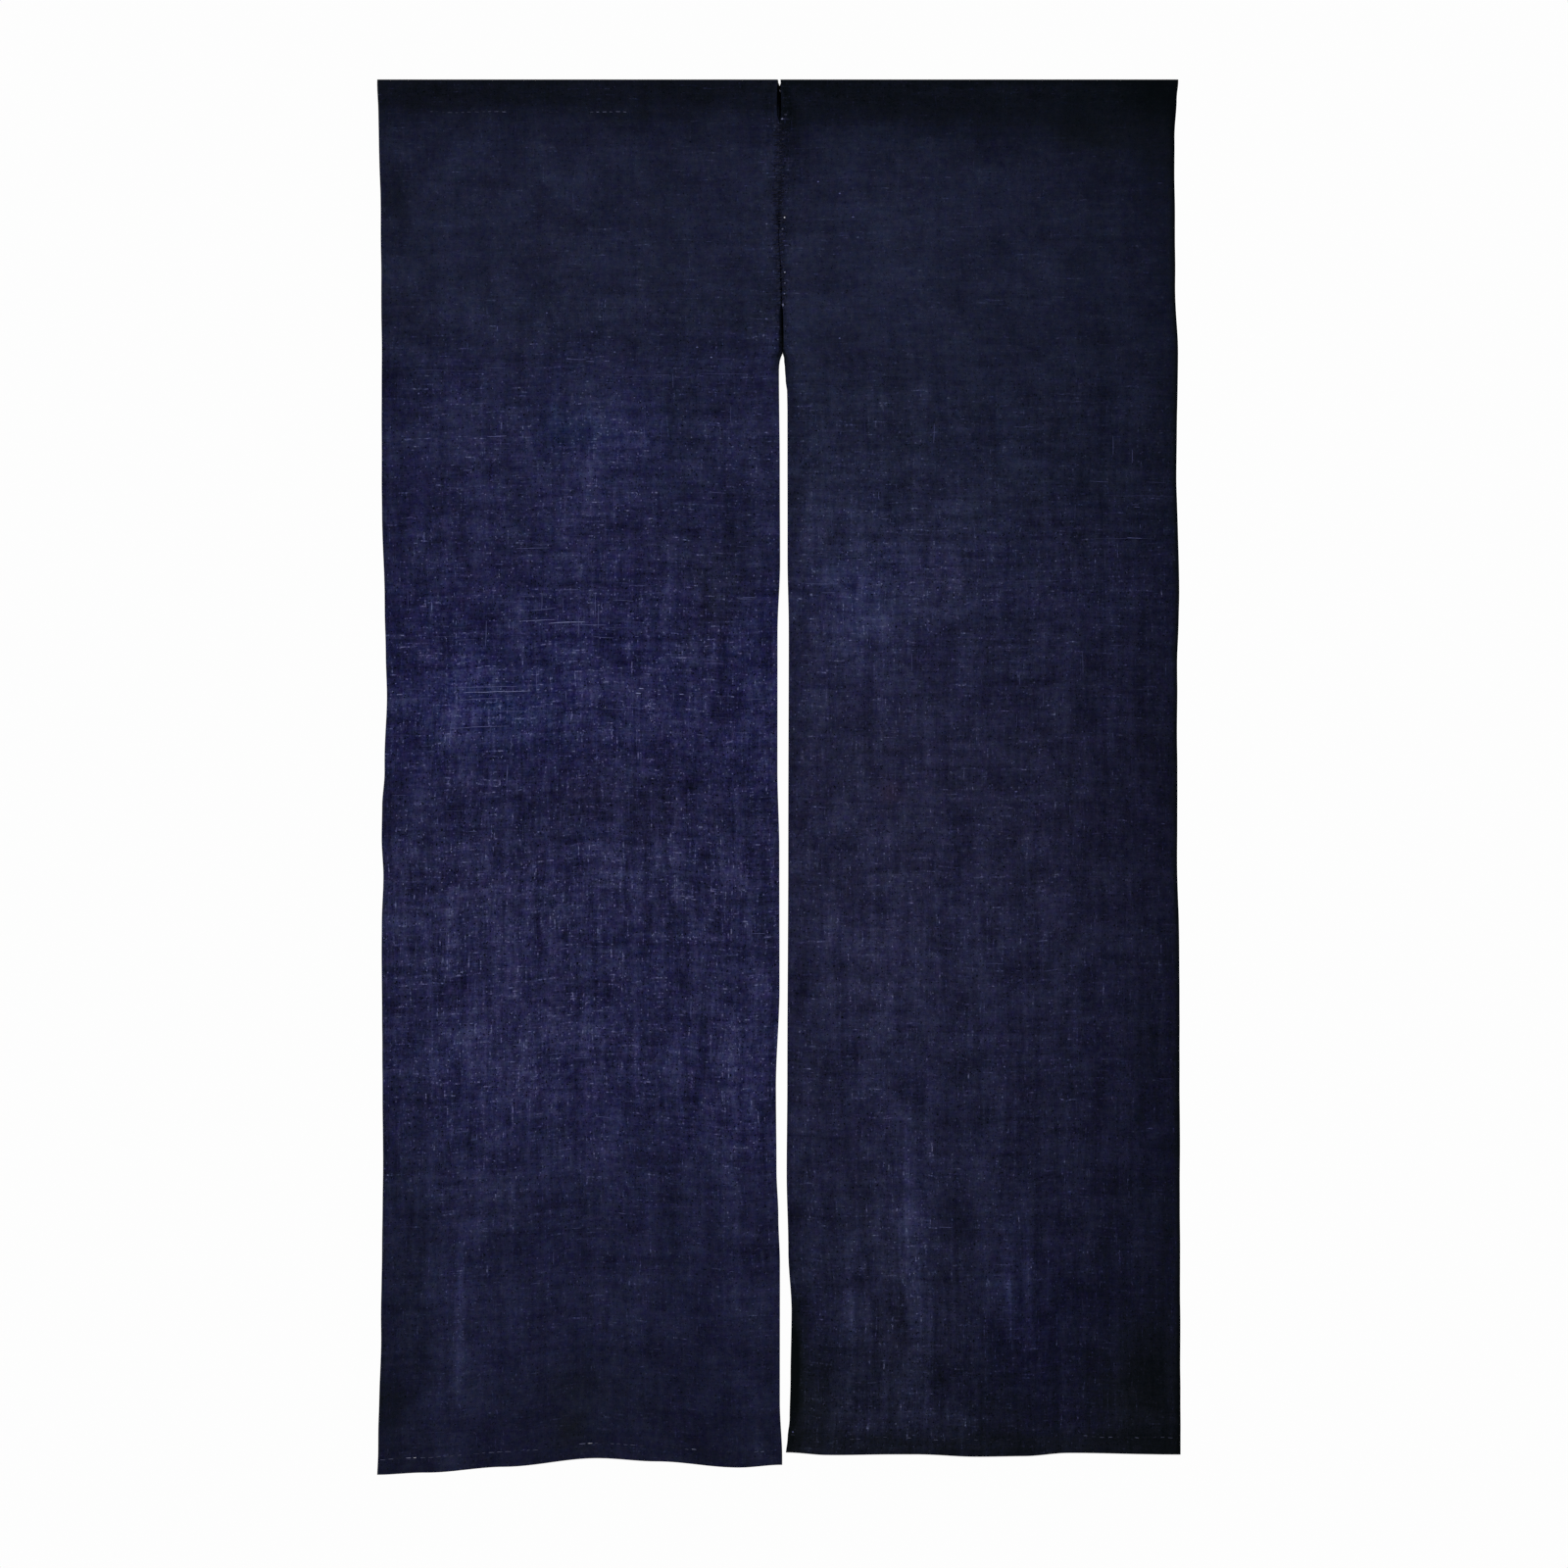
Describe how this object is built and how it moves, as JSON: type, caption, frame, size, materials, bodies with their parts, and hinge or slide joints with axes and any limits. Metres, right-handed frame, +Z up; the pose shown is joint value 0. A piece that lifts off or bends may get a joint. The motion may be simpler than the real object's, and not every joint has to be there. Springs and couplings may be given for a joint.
{
  "type": "noren curtain",
  "caption": "Door curtain of handwoven indigo cloth in two joined lengths, with a rod pocket along the top, a seam down the upper middle and a slit below it.",
  "frame": {"origin": "middle of the top edge, over the seam between the two lengths, at the middle of the cloth's thickness", "axes": "+Z up, against the hang; -Y out of the front; +X to the right as the front is seen"},
  "size_m": [0.8523, 0.0155, 1.48],
  "materials": {
    "indigo_cloth_left": "handwoven indigo cloth, faded and streaked",
    "indigo_cloth_right": "handwoven indigo cloth, darker and less faded"
  },
  "bodies": {
    "root": {"panel_left": "indigo_cloth_left", "panel_right": "indigo_cloth_right"}
  },
  "joints": []
}
